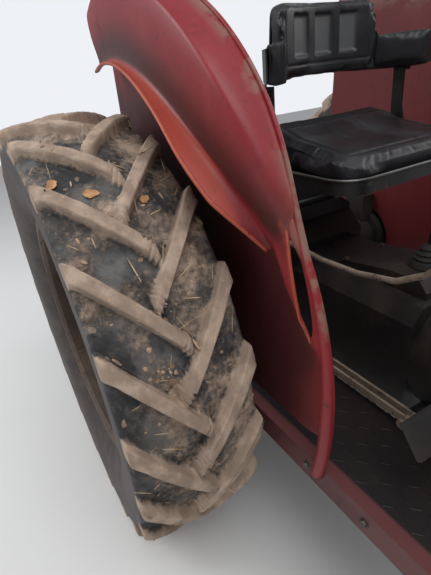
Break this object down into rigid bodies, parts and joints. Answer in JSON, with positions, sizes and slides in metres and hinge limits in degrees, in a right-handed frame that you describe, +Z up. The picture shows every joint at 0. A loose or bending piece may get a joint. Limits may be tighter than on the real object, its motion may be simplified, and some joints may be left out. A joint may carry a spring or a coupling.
{
  "type": "farm tractor",
  "caption": "Farm tractor with lugged rear tyres, high mudguards, open driver's seat, steered front wheels and a rear lifting linkage.",
  "frame": {"origin": "on the ground, under the middle of the tractor's length and width", "axes": "+X the way it drives, +Y its left, +Z up"},
  "size_m": [3.1532, 1.675, 2.0091],
  "materials": {
    "red_sheet": "worn satin red paint, faded and dusty",
    "cast_case": "dark grey painted castings, greasy",
    "black_steel": "black paint",
    "worn_steel": "bare worn steel, brown with age",
    "rim_paint": "off-white paint, dusty",
    "tread_rubber": "black rubber with dried mud on the lugs",
    "exhaust_iron": "rust-brown heat-resistant paint",
    "radiator_core": "black painted fins",
    "lamp": "bright reflector behind clear glass",
    "seat_vinyl": "black vinyl with a soft sheen",
    "grip_plastic": "black moulded rim"
  },
  "bodies": {
    "chassis": {"air_cleaner": "black_steel", "axle_housing_left": "cast_case", "axle_housing_right": "cast_case", "backrest_pad": "seat_vinyl", "brake_pedals": "worn_steel", "clutch_pedal": "worn_steel", "cooling_fan": "black_steel", "dash_panel": "black_steel", "drawbar": "cast_case", "engine_block": "cast_case", "exhaust_manifold": "exhaust_iron", "exhaust_stack": "exhaust_iron", "footboard_left": "red_sheet", "footboard_right": "red_sheet", "front_axle": "cast_case", "front_support": "cast_case", "fuel_filter": "cast_case", "gear_lever": "black_steel", "gearbox": "cast_case", "generator": "cast_case", "grille": "black_steel", "headlamp_left": "lamp", "headlamp_right": "lamp", "hood": "red_sheet", "injection_pump": "cast_case", "lift_lever": "worn_steel", "mudguard_left": "red_sheet", "mudguard_right": "red_sheet", "nose_surround": "red_sheet", "pto_shaft": "worn_steel", "radiator": "radiator_core", "rear_transmission": "cast_case", "rocker_cover": "red_sheet", "seat_cushion": "seat_vinyl", "seat_frame": "black_steel", "seat_support": "black_steel", "starter_motor": "cast_case"},
    "rear_wheel_right": {"rear_tyre_right": "tread_rubber", "rear_rim_right": "rim_paint"},
    "front_wheel_right": {"front_tyre_right": "tread_rubber", "front_rim_right": "rim_paint"},
    "knuckle_right": {"knuckle_right": "cast_case"},
    "tie_rod_right": {"tie_rod_right": "cast_case"},
    "lift_rod_right": {"lift_rod_right": "worn_steel"},
    "lower_link_right": {"lower_link_right": "cast_case"},
    "rear_wheel_left": {"rear_tyre_left": "tread_rubber", "rear_rim_left": "rim_paint"},
    "front_wheel_left": {"front_tyre_left": "tread_rubber", "front_rim_left": "rim_paint"},
    "knuckle_left": {"knuckle_left": "cast_case"},
    "tie_rod_left": {"tie_rod_left": "cast_case"},
    "lift_rod_left": {"lift_rod_left": "worn_steel"},
    "lower_link_left": {"lower_link_left": "cast_case"},
    "centre_arm": {"steering_centre_arm": "cast_case"},
    "steering_wheel": {"steering_wheel": "grip_plastic"},
    "lift_arms": {"lift_arms": "cast_case"}
  },
  "joints": [
    {"name": "steer_right", "type": "hinge", "parent": "chassis", "child": "knuckle_right", "pos_m": [1.2086, -0.5, 0.5], "axis": [0, 0, 1], "range_deg": [-40, 40]},
    {"name": "steer_left", "type": "hinge", "parent": "chassis", "child": "knuckle_left", "pos_m": [1.2086, 0.5, 0.5], "axis": [0, 0, 1], "range_deg": [-40, 40]},
    {"name": "centre_arm_turn", "type": "hinge", "parent": "chassis", "child": "centre_arm", "pos_m": [1.0986, 0, 0.45], "axis": [0, 0, 1], "range_deg": [-40, 40]},
    {"name": "tie_rod_turn_right", "type": "hinge", "parent": "knuckle_right", "child": "tie_rod_right", "pos_m": [1.0586, -0.5, 0.418], "axis": [0, 0, 1], "range_deg": [-40, 40]},
    {"name": "tie_rod_turn_left", "type": "hinge", "parent": "knuckle_left", "child": "tie_rod_left", "pos_m": [1.0586, 0.5, 0.37], "axis": [0, 0, 1], "range_deg": [-40, 40]},
    {"name": "steering_wheel_turn", "type": "hinge", "parent": "chassis", "child": "steering_wheel", "pos_m": [0.1936, 0, 1.262], "axis": [-0.5299, 0, 0.848], "range_deg": [-480, 480]},
    {"name": "rear_wheel_spin_right", "type": "hinge", "parent": "chassis", "child": "rear_wheel_right", "pos_m": [-0.6914, -0.68, 0.635], "axis": [0, 1, 0], "continuous": true},
    {"name": "front_wheel_spin_right", "type": "hinge", "parent": "knuckle_right", "child": "front_wheel_right", "pos_m": [1.2086, -0.65, 0.368], "axis": [0, 1, 0], "continuous": true},
    {"name": "rear_wheel_spin_left", "type": "hinge", "parent": "chassis", "child": "rear_wheel_left", "pos_m": [-0.6914, 0.68, 0.635], "axis": [0, 1, 0], "continuous": true},
    {"name": "front_wheel_spin_left", "type": "hinge", "parent": "knuckle_left", "child": "front_wheel_left", "pos_m": [1.2086, 0.65, 0.368], "axis": [0, 1, 0], "continuous": true},
    {"name": "lift_raise", "type": "hinge", "parent": "chassis", "child": "lift_arms", "pos_m": [-0.8214, 0, 0.89], "axis": [0, 1, 0], "range_deg": [-14, 36]},
    {"name": "lower_link_raise_right", "type": "hinge", "parent": "chassis", "child": "lower_link_right", "pos_m": [-0.7514, -0.252, 0.43], "axis": [0, 1, 0], "range_deg": [-14, 36]},
    {"name": "lift_rod_turn_right", "type": "hinge", "parent": "lift_arms", "child": "lift_rod_right", "pos_m": [-1.1214, -0.226, 0.872], "axis": [0, 1, 0], "range_deg": [-36, 14]},
    {"name": "lower_link_raise_left", "type": "hinge", "parent": "chassis", "child": "lower_link_left", "pos_m": [-0.7514, 0.252, 0.43], "axis": [0, 1, 0], "range_deg": [-14, 36]},
    {"name": "lift_rod_turn_left", "type": "hinge", "parent": "lift_arms", "child": "lift_rod_left", "pos_m": [-1.1214, 0.226, 0.872], "axis": [0, 1, 0], "range_deg": [-36, 14]}
  ],
  "couplings": [
    {"joint": "steer_left", "follows": "steer_right", "ratio": 1},
    {"joint": "centre_arm_turn", "follows": "steer_right", "ratio": 1},
    {"joint": "tie_rod_turn_right", "follows": "steer_right", "ratio": -1},
    {"joint": "tie_rod_turn_left", "follows": "steer_right", "ratio": -1},
    {"joint": "steering_wheel_turn", "follows": "steer_right", "ratio": 12},
    {"joint": "lower_link_raise_right", "follows": "lift_raise", "ratio": 1},
    {"joint": "lift_rod_turn_right", "follows": "lift_raise", "ratio": -1},
    {"joint": "lower_link_raise_left", "follows": "lift_raise", "ratio": 1},
    {"joint": "lift_rod_turn_left", "follows": "lift_raise", "ratio": -1}
  ]
}
